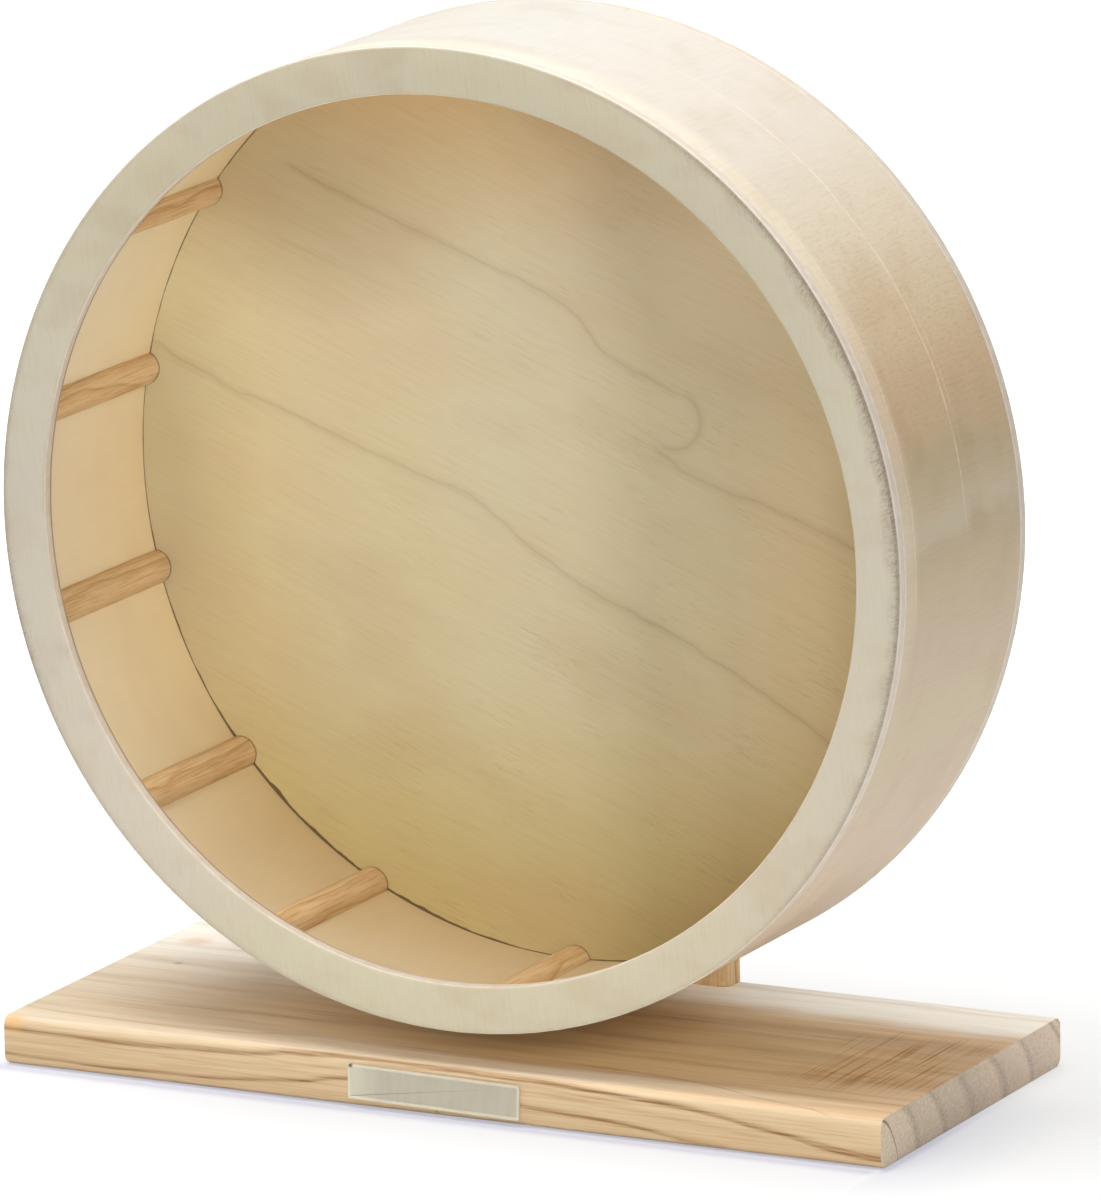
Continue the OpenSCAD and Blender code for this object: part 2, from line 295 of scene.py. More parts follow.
def roundAxle(tree, x, z):
    # degrees round from +X and millimetres out from the axle
    angle = times(tree, counted(tree, "ARCTAN2", z, x), 180 / math.pi)
    return angle, flatLength(tree, x, z)


def nearSpot(tree, a, b, centre, size, core=0.2):
    # one at the middle of a soft oval patch, nothing at its rim
    off = [counted(tree, "DIVIDE", minus(tree, value, middle), half)
           for value, middle, half in zip((a, b), centre, size)]
    return span(tree, flatLength(tree, *off), 1.0, core)


def facing(tree):
    axes = add(tree, "SeparateXYZ", {"Vector": add(tree, "TexCoord", {}).outputs["Normal"]})
    return [axes.outputs[name] for name in "XYZ"]


def grainLine(tree, along, across, line):
    # one growth line through a few points in mm, sharper on one side than on the other
    points = line["points"]
    reach = [points[0][0], points[-1][0]]
    spread = [min(p[1] for p in points) - 1, max(p[1] for p in points) + 1]
    curve = [((a - reach[0]) / (reach[1] - reach[0]), (b - spread[0]) / (spread[1] - spread[0]))
             for a, b in points]
    course = add(tree, "FloatCurve", {"Value": span(tree, along, *reach), "curve": curve})
    middle = span(tree, course, 0.0, 1.0, *spread)
    aside = minus(tree, across, middle)
    mark = tones(tree, aside, [(at * line["width"], shade) for at, shade in line["look"]])
    first, last, fade = line.get("ends", (-1e4, 1e4, 1))
    start = span(tree, along, first - fade, first + fade)
    stop = span(tree, along, last + fade, last - fade)
    return times(tree, mark, start, stop, line.get("strength", 1.0))


def paperSweep():
    # studio paper roll: matt, nearly white, with a fine tooth
    material, tree, place = startMaterial("paperSweep")
    tooth = add(tree, "TexNoise", {"Vector": place, "Scale": 1 / (2 * mm), "Detail": 2.0})
    colour = tones(tree, tooth, [(0.3, "#F7F8F9"), (0.7, "#FAFBFC")])
    paper = add(tree, "BsdfPrincipled", {
        "Base Color": colour, "Roughness": 0.95, "Specular IOR Level": 0.1})
    # for camera rays the floor glows, as a camera exposes it: a painted shadow, soft and slightly blue,
    # near the board, pure white further back
    away = add(tree, "VectorMath", {"operation": "DISTANCE", 0: place, 1: studio["shadowAt"]})
    far = span(tree, away.outputs["Value"], 0.15, 0.6, studio["floorLift"], 1.0)
    x, y = inMm(tree, place, (boardLow + boardHigh) / 2)[1:3]
    half = (boardHigh - boardLow) / 2 / mm
    outside = [most(tree, minus(tree, counted(tree, "ABSOLUTE", value), reach), 0.0)
               for value, reach in ((x, half.x), (y, half.y))]
    gap = flatLength(tree, *outside)
    before = times(tree, tones(tree, gap, studio["contact"]["front"]), span(tree, y, -50, -60),
                   span(tree, x, half.x + 3, half.x - 3))
    beside = times(tree, tones(tree, gap, studio["contact"]["right"]), span(tree, y, 30, -30),
                   span(tree, x, half.x - 3, half.x + 1))
    near = most(tree, before, beside)
    # the glow's colour: white, turning to the painted blue shadow near the board
    glow = mixed(tree, near, "#FCFDFF", "#B9BBD8")
    exposed = add(tree, "BsdfPrincipled", {
        "Base Color": studio["floorTone"], "Roughness": 0.95, "Specular IOR Level": 0.0,
        "Emission Color": glow, "Emission Strength": far})
    seen = add(tree, "LightPath", {}).outputs["Is Camera Ray"]
    add(tree, "OutputMaterial", {"Surface": add(tree, "MixShader", {"Fac": seen, 1: paper, 2: exposed})})
    return material


edgeLook = {
    # mm through the thickness: face veneer, glue line, core with end grain, glue line, veneer
    "plies": [(0.0, "#D5CCC1"), (1.15, "#D0C6B9"), (1.25, "#BFAF9B"), (1.4, "#CDC2B3"), (2.6, "#CDC2B3"),
              (2.75, "#BFAF9B"), (2.85, "#D0C6B9"), (4.0, "#D5CCC1")],
    "speck": [(0.35, "#E4DBCE"), (0.6, "#FFFFFF")],
}


def withCutEdge(tree, space, depth, face, strength=1.0):
    # paints the plies where the surface faces away from the axle or towards it
    layers = tones(tree, depth, edgeLook["plies"])
    layers = tinted(tree, 0.4, layers, grit(tree, space, (3, 1.4, 3)), edgeLook["speck"])
    flat = counted(tree, "ABSOLUTE", facing(tree)[1])
    rim = times(tree, span(tree, flat, 0.75, 0.45), strength)
    return mixed(tree, rim, face, layers)


softLine = [(-1.0, 0.0), (-0.28, 0.10), (-0.06, 0.55), (0.0, 1.0), (0.08, 0.4), (0.3, 0.05), (1.0, 0.0)]
discLook = {
    "grain": (0, 22, 0),         # degrees, the figure falls to the right
    # across and upward: paler at the left, darker at the right and towards the rim; mostly painted light
    # and painted shade from the drum's walls
    "across": [(-125, "#E6D6AC"), (-100, "#DBCBA4"), (-75, "#D5C7A6"), (-50, "#D1C3A2"),
               (-25, "#CEC2A5"), (0, "#C9BCA0"), (25, "#B9AC8F"), (50, "#BBAC8E"), (75, "#CEBC98"),
               (100, "#CFBC95"), (125, "#CBB58C")],
    "upward": [(-125, "#FFF6D2"), (-100, "#FFFBDC"), (-60, "#FFFFF6"), (60, "#FFFFFF"), (100, "#FFF0DC"),
               (125, "#FFE8CC")],
    "cloud": [(0.34, "#F2E9DF"), (0.46, "#FFFFFA"), (0.56, "#FFFBEF"), (0.68, "#FFF2E9")],
    "fibre": [(0.3, "#F0EBE3"), (0.5, "#FCFBF8"), (0.62, "#FFFFFF")],
    "stroke": [(0.36, "#CDBFA6"), (0.42, "#FFFFFF")],
    # painted shade close to the wall at the left and high at the left, painted light high at the right:
    # centre, half size, shade
    "lightAndShadePatches": [((-128, -10), (34, 125), "#C8BA95"), ((-80, 76), (62, 38), "#B8A684"),
                ((72, 78), (58, 48), "#DCCBA9")],
    "rear": "#D2C3A0",
    "line": "#96764A", "depth": 0.25,
    "seam": "#553D27",
}
# the points are along and across the figure, in mm from the axle
discLines = [
    {"points": [(-128, -20), (-110, -21), (-80, -19), (-57, -18.4), (-40, -17.4), (-31, -16),
                (-19, -17.3), (-4, -21.2), (20, -24.1), (42, -24), (64, -25.7), (98, -30.6)],
     "width": 8, "look": softLine},
    {"points": [(-125, 46), (-87, 45.5), (-47, 46.8), (-30, 47.4), (-21, 46.8), (-10, 42.8),
                (-0.5, 39.4), (7.6, 39.2), (16, 39.6), (29, 39.6)],
     "width": 7, "look": softLine, "ends": (-110, 21, 4)},
    {"points": [(17, 22.3), (23, 21.7), (31.4, 20), (39.4, 20), (47, 21.4), (56, 22.5), (84, 23.2),
                (120, 24.2)],
     "width": 9, "look": softLine, "ends": (19, 130, 2.5)},
    {"points": [(20, 17.5), (40, 18.3), (62, 18.2), (90, 19)],
     "width": 4, "look": softLine, "ends": (30, 74, 9), "strength": 0.4},
    {"points": [(-122, 25), (-100, 25.5), (-70, 27), (-50, 27.5)],
     "width": 5, "look": softLine, "ends": (-104, -66, 8), "strength": 0.45},
]
discNose = {"along": 21.4, "across": 31.8, "radius": 8.0, "width": 8}


def discPlywood():
    # rotary-cut poplar plywood, sanded: pale tan, silky, a few flame lines, hardly any fibre
    material, tree, place = startMaterial("poplarPlywoodDisc")
    look = discLook
    space, x, y, z = inMm(tree, place, axle)
    grain, along, _, across = inMm(tree, place, axle, look["grain"])
    # painted light and shade: tones across the disc and up it
    colour = tinted(tree, 1.0, tones(tree, x, look["across"]), z, look["upward"])
    # soft patches of painted shade and painted light
    for centre, size, shade in look["lightAndShadePatches"]:
        colour = mixed(tree, nearSpot(tree, x, z, centre, size), colour, shade)
    front = span(tree, facing(tree)[1], -0.5, -0.9)
    colour = mixed(tree, front, look["rear"], colour)
    colour = tinted(tree, 0.4, colour, grit(tree, grain, (64, 8, 30), 2.0), look["cloud"])
    fibre = grit(tree, grain, (15, 3, 0.8), 3.0, 0.6, 0.4)
    colour = tinted(tree, 0.4, colour, fibre, look["fibre"])
    # short raised strokes stand in loose groups
    stroke = grit(tree, grain, (4.2, 2, 0.5), 2.0)
    group = span(tree, grit(tree, grain, (26, 9, 12), 2.0), 0.46, 0.64, 0.0, 0.2)
    group = times(tree, group, span(tree, along, -75, 0, 0.25, 1.0))
    colour = tinted(tree, group, colour, stroke, look["stroke"])
    across = plus(tree, across, span(tree, grit(tree, space, (9, 9, 9), 2.0), 0.2, 0.8, -0.7, 0.7))
    marks = [grainLine(tree, along, across, line) for line in discLines]
    ahead = minus(tree, along, discNose["along"])
    above = minus(tree, across, discNose["across"])
    away = minus(tree, discNose["radius"], flatLength(tree, ahead, above))
    arc = tones(tree, away, [(at * discNose["width"], shade) for at, shade in softLine])
    marks.append(times(tree, arc, span(tree, ahead, -3, 1)))
    total = most(tree, *marks)
    strength = times(tree, total, front, look["depth"])
    colour = mixed(tree, strength, colour, look["line"], "MULTIPLY")
    # a thin dark gap where the bent sheet meets the disc, wider at the lower left
    angle, radius = roundAxle(tree, x, z)
    inside = (wheelRadius - skin["thick"]) / mm
    wide = tones(tree, angle, [(-180, 0.25), (-150, 0.45), (-132, 1.0), (-115, 0.8), (-95, 0.35), (0, 0.3),
                               (150, 0.3), (180, 0.25)])
    reach = times(tree, wide, span(tree, grit(tree, space, (7, 7, 7)), 0.3, 0.7, 0.5, 1.5))
    gap = plus(tree, minus(tree, radius, inside), reach)
    gap = times(tree, span(tree, gap, -0.12, 0.12), front, 0.85)
    colour = mixed(tree, gap, colour, look["seam"])
    depth = minus(tree, y, discLow.y / mm)
    colour = withCutEdge(tree, space, depth, colour)
    endMaterial(tree, colour, 0.58, fibre, 0.008, bareWood)
    return material


ringLook = {
    "grain": (0, 82, 0),
    # by degrees round from +X
    "round": [(-180, "#B4AC9D"), (-140, "#BDB3A3"), (-110, "#BCB39B"), (-60, "#BCB29B"), (-30, "#BAB09E"),
              (0, "#B5AD9C"), (40, "#B2A995"), (90, "#B2AA95"), (140, "#B3AA94"), (160, "#B6AE9B"),
              (180, "#B4AC9D")],
    "cloud": [(0.34, "#F4EDE4"), (0.48, "#FFFFFF"), (0.6, "#FFFFF8"), (0.7, "#FAF3EA")],
    "fibre": [(0.3, "#F1EEE8"), (0.5, "#FCFBF9"), (0.62, "#FFFFFF")],
    # where the edge is roughed up: by degrees, how strongly
    "frayed": [(-180, 0.4), (-165, 0.6), (-145, 0.3), (-80, 0.1), (-46, 0.15), (-24, 0.45), (0, 0.8),
               (14, 1.0), (32, 0.95), (46, 0.7), (62, 0.3), (78, 0.05), (130, 0.05), (160, 0.3),
               (180, 0.4)],
    "deep": 6.5,                 # mm in from the edge
    "dirt": "#6A584B",
}


def ringPlywood():
    # poplar plywood with its pale, greenish sapwood face: matt, chalky, scuffed along one edge
    material, tree, place = startMaterial("poplarPlywoodRing")
    look = ringLook
    space, x, y, z = inMm(tree, place, axle)
    grain = inMm(tree, place, axle, look["grain"])[0]
    angle, radius = roundAxle(tree, x, z)
    colour = tones(tree, angle, look["round"])
    colour = tinted(tree, 0.55, colour, grit(tree, space, (22, 5, 14)), look["cloud"])
    fibre = grit(tree, grain, (9, 3, 0.8), 3.0, 0.6, 0.5)
    colour = tinted(tree, 0.4, colour, fibre, look["fibre"])
    # fuzz: short hooked strokes of raised, dirty fibre, leaning over as they leave the edge
    inward = minus(tree, wheelRadius / mm, radius)
    arc = times(tree, angle, math.radians(1) * wheelRadius / mm)
    lean = plus(tree, arc, times(tree, inward, 0.5))
    hairs = add(tree, "CombineXYZ", {"X": lean, "Y": inward})
    stroke = tones(tree, grit(tree, hairs, (0.36, 1.7, 1), 2.0, 0.55, 1.2), [(0.42, 1.0), (0.52, 0.0)])
    where = tones(tree, angle, look["frayed"])
    reach = span(tree, grit(tree, space, (9, 9, 9)), 0.3, 0.7, 0.5, 1.0)
    reach = times(tree, reach, span(tree, where, 0.0, 1.0, 0.3, 1.0), look["deep"])
    near = span(tree, counted(tree, "DIVIDE", inward, reach), 1.0, 0.15)
    fuzz = times(tree, near, where, most(tree, stroke, 0.35))
    front = span(tree, facing(tree)[1], -0.3, -0.8)
    fuzz = times(tree, fuzz, front, 0.85)
    colour = mixed(tree, fuzz, colour, look["dirt"])
    # a thin dark line right on the roughed edge
    rim = times(tree, span(tree, inward, 1.6, 0.7), where, front, 0.5)
    colour = mixed(tree, rim, colour, look["dirt"])
    depth = minus(tree, y, ringLow.y / mm)
    colour = withCutEdge(tree, space, depth, colour)
    # painted shadow along the rear corner of the hole at the left, in the gap between the ring and the wall
    hole = times(tree, span(tree, depth, 3.0, 3.4), span(tree, inward, 10, 11),
                 span(tree, counted(tree, "ABSOLUTE", angle), 75, 115, 0.0, 0.65))
    colour = mixed(tree, hole, colour, "#7E5A40")
    endMaterial(tree, colour, 0.62, fibre, 0.01, {"Specular IOR Level": 0.25})
    return material


skinLook = {
    # the outside by degrees round from +X: pale on top, brown heartwood at the side; partly the veneer's
    # own tone, partly painted light on top and painted shade at the side
    "outside": [(-180, "#C6BAA6"), (-60, "#D2C0AA"), (-42, "#CFBCA5"), (-34, "#CAB7A1"), (-26, "#C4B299"),
                (-18, "#C2B196"), (-10, "#C1AE96"), (-4, "#BFAC91"), (-1, "#BDAB8E"), (2.5, "#B5A387"),
                (5, "#C0B29B"), (8, "#BBA98D"), (12, "#B4A283"), (15, "#BDA586"), (22, "#C2A98A"),
                (30, "#CBB89C"), (38, "#CFC0AA"), (46, "#CFC3B1"), (54, "#CEC5B8"), (62, "#CCC4B9"),
                (70, "#C9C2B9"), (86, "#C5C1BA"), (120, "#C8C1B6"), (180, "#C6BAA6")],
    # the inside by degrees: paler at the left where the inner wall faces the light, partly painted light
    "inside": [(-180, "#ECDCC1"), (-154, "#F2E3C6"), (-130, "#D6C2A0"), (-106, "#D3C0A3"), (-80, "#D0BDA0"),
               (0, "#D8C6A6"), (90, "#DECCAB"), (140, "#E8DABC"), (156, "#EBE0C9"), (180, "#ECDCC1")],
    "rearward": [(-50, "#FFFFFF"), (18, "#FFF8E4")],
    "cloud": [(0.34, "#F3ECE2"), (0.48, "#FFFFFF"), (0.6, "#FFFFF9"), (0.7, "#F8F4F2")],
    "fibre": [(0.3, "#F2EDE5"), (0.5, "#FCFBF8"), (0.62, "#FFFFFF")],
    "ripple": [(0.38, "#D9CBB6"), (0.47, "#FFFFFF"), (0.6, "#FFFFFF")],
    "rippled": [(0, 0.0), (10, 0.0), (17, 0.6), (26, 1.0), (40, 0.8), (52, 0.2), (64, 0.0)],
    "hairlines": [
        # place along the axle and half width in mm, first and last degrees, strength
        (-14.5, 0.20, 6, 64, 0.5),
        (-11.6, 0.12, 12, 30, 0.2),
        (-47.0, 0.30, -6, 50, 0.25),
    ],
    "worn": "#E8DAC4",
}


def bentVeneer():
    # thin bent poplar plywood: smooth and pale, browner where heartwood shows, finely scratched
    material, tree, place = startMaterial("bentPoplarPlywood")
    look = skinLook
    space, x, y, z = inMm(tree, place, axle)
    angle, radius = roundAxle(tree, x, z)
    outside = span(tree, radius, wheelRadius / mm - 1.2, wheelRadius / mm - 0.8)
    sway = grit(tree, space, (26, 18, 26), 2.0)
    loose = plus(tree, angle, span(tree, sway, 0.3, 0.7, -1.6, 1.6))
    colour = tones(tree, loose, look["outside"])
    arc = times(tree, angle, math.radians(1) * wheelRadius / mm)
    sheet = add(tree, "CombineXYZ", {"X": arc, "Y": y})
    # fine ripples across the sheet where it is bent over brown, harder wood
    ripple = grit(tree, sheet, (0.9, 2.8, 1), 2.0, 0.5, 0.5)
    where = times(tree, tones(tree, angle, look["rippled"]), outside)
    colour = tinted(tree, times(tree, where, 0.22), colour, ripple, look["ripple"])
    # paler along the front edge, where the face has been rubbed
    edge = times(tree, span(tree, y, -44, -49), span(tree, angle, -22, 4), 0.34)
    colour = mixed(tree, edge, colour, look["worn"])
    broken = tones(tree, grit(tree, space, (5, 5, 5)), [(0.4, 0.3), (0.55, 1.0)])
    drift = plus(tree, y, span(tree, grit(tree, space, (14, 14, 14), 2.0), 0.3, 0.7, -0.4, 0.4))
    for at, half, first, last, strength in look["hairlines"]:
        aside = counted(tree, "ABSOLUTE", minus(tree, drift, at))
        line = span(tree, aside, half + 0.4, half)
        ends = times(tree, span(tree, angle, first - 5, first + 5),
                     span(tree, angle, last + 5, last - 5))
        line = times(tree, line, ends, broken, strength)
        colour = mixed(tree, line, colour, look["worn"])
    inner = tones(tree, angle, look["inside"])
    inner = tinted(tree, 1.0, inner, y, look["rearward"])
    colour = mixed(tree, outside, inner, colour)
    cloudy = span(tree, outside, 0.0, 1.0, 0.2, 0.45)
    colour = tinted(tree, cloudy, colour, sway, look["cloud"])
    fibre = grit(tree, sheet, (0.8, 15, 1), 3.0, 0.6, 0.3)
    colour = tinted(tree, cloudy, colour, fibre, look["fibre"])
    height = plus(tree, fibre, times(tree, ripple, where, 2.5))
    endMaterial(tree, colour, 0.55, height, 0.014, bareWood)
    return material


crispLine = [(-1.0, 0.0), (-0.45, 0.15), (-0.2, 0.85), (0.0, 1.0), (0.16, 0.7), (0.5, 0.18), (1.0, 0.0)]
boardLook = {
    # tones by place in mm
    "top": [(-140, "#DDCFB9"), (-90, "#E0CBAE"), (-30, "#E6CAA4"), (60, "#E8CBA2"), (130, "#E0C29F")],
    # painted light: a pale spot that lifts the wheel's shadow on the top, and pale lit strips along the
    # front and rear
    "shadowLift": "#FFE4B2", "shadowLiftAt": (10, -18), "shadowLiftSize": (115, 48),
    "frontStrip": "#F8E8CF", "rearStrip": "#FFF8EC",
    "side": [(0, "#BDA380"), (6, "#C5AC88"), (11, "#CAB290"), (14, "#D1BD9F")],
    "end": [(-58, "#CFC0AD"), (-5, "#D1C2B0"), (14, "#DFCCB9"), (58, "#E8D5C1")],
    "streak": [(0.30, "#ECE2D3"), (0.48, "#FAF7F1"), (0.60, "#FFFFFF")],
    "broad": [(0.34, "#F0E2D1"), (0.56, "#FFFFFF")],
    "speck": [(0.32, "#F1EBE1"), (0.6, "#FFFFFF")],
    "line": "#80592B", "endLine": "#7C6D5A", "arcLine": "#4F4237",
    # years that run the length of the board: place across it at the underside, half width, darkness
    "years": [(-47.5, 1.2, 0.0), (-33.5, 4.0, 0.42), (-16.5, 3.6, 0.40), (1.5, 4.6, 0.36),
              (21.5, 3.6, 0.42), (39.5, 3.4, 0.40), (60.5, 2.4, 0.45), (64.5, 2.0, 0.4)],
    "cup": 0.046,                # how the years curve over the thickness, per mm
    # lines on the front edge, along it and up it
    "front": [
        {"points": [(-140, 10.8), (-128, 10.6), (-116, 10.5), (-92, 10.4), (-83, 10.9), (-72, 11.3),
                    (-61, 11.8), (-50, 12.9), (-36, 13.5), (-10, 13.6), (18, 13.2), (33, 12.8), (45, 12.4),
                    (56, 11.8), (68, 11.1), (79, 9.8), (90, 8.1), (101, 6.5), (112, 4.3), (123, 3.1),
                    (130, 2.9)],
         "width": 1.9, "look": crispLine},
        {"points": [(-140, 3.7), (-124, 3.2), (-108, 2.8), (-92, 3.1), (-77, 3.4), (-61, 4.4),
                    (-46, 5.6), (-30, 7.9), (-10, 8.4), (10, 7.4), (22, 5.9), (33, 5.4), (45, 4.8),
                    (56, 3.8), (67, 2.3), (76, 1.3), (84, 1.4), (130, 1.0)],
         "width": 1.6, "look": crispLine, "ends": (-150, 80, 7), "strength": 0.9},
        {"points": [(96, 7.9), (103, 6.5), (112, 5.2), (120, 4.2), (130, 3.4)],
         "width": 1.4, "look": crispLine, "ends": (98, 150, 4), "strength": 0.9},
        {"points": [(-36, 12.4), (-5, 12.3), (20, 11.6), (40, 10.9), (60, 9.8)],
         "width": 1.6, "look": crispLine, "ends": (-30, 52, 9), "strength": 0.4},
        {"points": [(-140, 8.2), (-100, 8.0), (-60, 8.9), (-20, 11.0), (20, 10.4), (60, 8.0), (100, 4.6)],
         "width": 2.4, "look": crispLine, "strength": 0.2},
    ],
    # thin lines on the top, along it and across it; the first and the last are partly grain and partly
    # painted shade where the lit rounding and the wheel's shadow meet the top
    "upper": [
        {"points": [(-140, -44.5), (-113, -49), (-89, -49), (-67, -46.6), (-54, -42.4), (-30, -41)],
         "width": 2.6, "look": softLine, "ends": (-150, -44, 8), "strength": 0.5},
        {"points": [(-140, -29), (-108, -29.7), (-85, -28.4), (-62, -27.2), (-20, -26)],
         "width": 3.0, "look": softLine, "ends": (-125, -50, 12), "strength": 0.45},
        {"points": [(20, -40), (45, -41), (68, -44), (90, -51.5), (112, -57), (120, -60)],
         "width": 2.2, "look": softLine, "ends": (30, 130, 6), "strength": 0.6},
    ],
    "arc": {"points": [(-60, 14.5), (-57, 13.6), (-53.5, 11.4), (-50.6, 7.6), (-48.4, 3.4), (-47.4, -0.5)],
            "width": 1.1, "look": crispLine},
    "sawn": {"x": (86, 127), "y": (-32, 19)},
    "ridge": [(0.34, "#D3B485"), (0.44, "#F1E4CC"), (0.5, "#FFFFFF"), (0.62, "#FFF6E4")],
    "knots": [
        # centre and radius in mm, colour, strength
        ((-4.5, -58, 0.9), 1.1, "#6B4A26", 0.8),
        ((-121, 11, 14), 1.8, "#8A7350", 0.45),
        ((-128, 34, 14), 6.0, "#E0AC82", 0.4),
        ((-135.5, -57, 12.5), 4.2, "#D9A24C", 0.4),
        ((85, -58, 0.4), 0.7, "#5E4224", 0.8),
        ((114, -58, 0.3), 0.8, "#5E4224", 0.7),
    ],
}


def planedBoard():
    # fast-grown pine board, planed: wide pale years with thin brown lines, saw fuzz at one end
    material, tree, place = startMaterial("planedPineBoard")
    look = boardLook
    space, x, y, z = inMm(tree, place)
    outX, outY, outZ = facing(tree)
    top = span(tree, outZ, 0.55, 0.95)
    end = span(tree, counted(tree, "ABSOLUTE", outX), 0.5, 0.85)
    front = span(tree, outY, -0.2, -0.6)
    # the top: paler towards both long edges and where the wheel hangs over it, painted light on the lit
    # strips and in the wheel's shadow
    flat = tones(tree, x, look["top"])
    shade = nearSpot(tree, x, y, look["shadowLiftAt"], look["shadowLiftSize"], 0.4)
    flat = mixed(tree, shade, flat, look["shadowLift"])
    shift = span(tree, grit(tree, space, (30, 14, 14), 2.0), 0.3, 0.7, -2.0, 2.0)
    loose = plus(tree, y, shift)
    near = span(tree, counted(tree, "ABSOLUTE", x), 125, 45, 0.12, 1.0)
    litStrip = times(tree, span(tree, loose, -41, -47.5), near, span(tree, outZ, 0.9, 0.99))
    flat = mixed(tree, litStrip, flat, look["frontStrip"])
    low = span(tree, x, -100, 20, -8, 26)
    litStrip = span(tree, loose, low, 38)
    flat = mixed(tree, litStrip, flat, look["rearStrip"])
    colour = mixed(tree, top, tones(tree, z, look["side"]), flat)
    colour = mixed(tree, end, colour, tones(tree, y, look["end"]))
    # long fibres, fine and brown along the board, round specks on the ends
    fibre = grit(tree, space, (24, 0.6, 0.6), 4.0, 0.62, 0.2)
    middle = times(tree, top, minus(tree, 1.0, litStrip), 0.7)
    colour = tinted(tree, span(tree, top, 0.0, 1.0, 0.85, 0.6), colour, fibre, look["streak"])
    colour = tinted(tree, middle, colour, grit(tree, space, (70, 5, 5), 2.0), look["broad"])
    specks = tinted(tree, 1.0, colour, grit(tree, space, (0.7, 0.7, 0.7), 4.0), look["speck"])
    colour = mixed(tree, end, colour, specks)
    # the years, cut by every face
    cup = times(tree, z, z, look["cup"])
    year = plus(tree, y, cup, span(tree, grit(tree, space, (45, 16, 16), 2.0), 0.25, 0.75, -1.4, 1.4))
    steps = [(-70, 0.0)]
    for at, half, dark in look["years"]:
        steps += [(at - half, 0.0), (at - 0.2 * half, dark), (at + 0.5 * half, 0.35 * dark)]
    mark = tones(tree, year, steps + [(80, 0.0)])
    uneven = span(tree, fibre, 0.3, 0.6, 1.2, 0.55)
    firm = span(tree, end, 0.0, 1.0, 0.5, 1.35)
    mark = times(tree, mark, uneven, firm, minus(tree, 1.0, front))
    shade = mixed(tree, end, look["line"], look["endLine"])
    colour = mixed(tree, mark, colour, shade)
    lift = plus(tree, z, span(tree, grit(tree, space, (16, 6, 6)), 0.3, 0.7, -0.15, 0.15))
    lines = [grainLine(tree, x, lift, line) for line in look["front"]]
    lines = times(tree, most(tree, *lines), span(tree, outY, -0.1, -0.45))
    upper = [grainLine(tree, x, y, line) for line in look["upper"]]
    upper = times(tree, most(tree, *upper), top)
    lines = times(tree, most(tree, lines, upper), uneven, minus(tree, 1.0, end))
    colour = mixed(tree, lines, colour, look["line"])
    arc = times(tree, grainLine(tree, y, z, look["arc"]), end, span(tree, outX, 0.0, 0.5), 0.9)
    colour = mixed(tree, arc, colour, look["arcLine"])
    # saw fuzz: fine golden ridges across the board near its right end
    comb = grit(tree, space, (0.65, 34, 40), 3.0)
    patch = span(tree, grit(tree, space, (16, 22, 13), 2.0), 0.28, 0.5, 0.2, 1.0)
    patch = times(tree, patch, top)
    for value, (low, high), fade in ((x, look["sawn"]["x"], 5), (y, look["sawn"]["y"], 9)):
        patch = times(tree, patch, span(tree, value, low - fade, low + fade),
                      span(tree, value, high + fade, high - fade))
    colour = tinted(tree, patch, colour, comb, look["ridge"])
    for centre, size, shade, strength in look["knots"]:
        gone = add(tree, "VectorMath", {"operation": "DISTANCE", 0: space, 1: centre})
        spot = span(tree, gone.outputs["Value"], size, 0.3 * size, 0.0, strength)
        colour = mixed(tree, spot, colour, shade)
    endMaterial(tree, colour, 0.52, fibre, 0.03, bareWood)
    return material


def pineWood(name, look):
    # planed pine: pale early wood, thin darker late wood, long fibres along X once turned
    material, tree, place = startMaterial(name)
    space, x, y, z = inMm(tree, place, look["pith"], look["turn"])
    push = span(tree, grit(tree, space, look["waver"], 2.0), 0.0, 1.0, -look["push"], look["push"])
    years = counted(tree, "DIVIDE", plus(tree, flatLength(tree, y, z), push), look["year"])
    colour = tones(tree, counted(tree, "FRACT", years), look["yearShades"])
    fibre = grit(tree, space, look["fibre"], 4.0, 0.6)
    colour = tinted(tree, 1.0, colour, fibre, look["fibreShades"])
    # painted shade towards the end that meets the disc
    if "shadowedEnd" in look:
        end = look["shadowedEnd"]
        colour = mixed(tree, span(tree, x, end - 0.9, end - 0.2, 0.0, 0.75), colour, "#5F4024")
    endMaterial(tree, colour, 0.55, fibre, 0.07, bareWood)
    return material


def brushedMetal(name, look):
    # steel: keeps the default IOR, its colour does the work
    material, tree, place = startMaterial(name)
    marks = grit(tree, inMm(tree, place)[0], look["speck"], 4.0, 0.6)
    colour = tones(tree, marks, look["tones"])
    rough = span(tree, marks, 0.3, 0.7, *look["rough"])
    endMaterial(tree, colour, rough, marks, look["depth"], {"Metallic": 1.0})
    return material


def cageNylon():
    # moulded nylon: waxy, off-white, with the faint cloudiness of the moulding
    material, tree, place = startMaterial("mouldedNylon")
    cloud = grit(tree, inMm(tree, place)[0], (1.5, 1.5, 1.5), 2.0)
    colour = tones(tree, cloud, [(0.3, "#CFC5A8"), (0.7, "#DDD4BA")])
    endMaterial(tree, colour, 0.42, cloud, 0.02, {"IOR": 1.53})
    return material


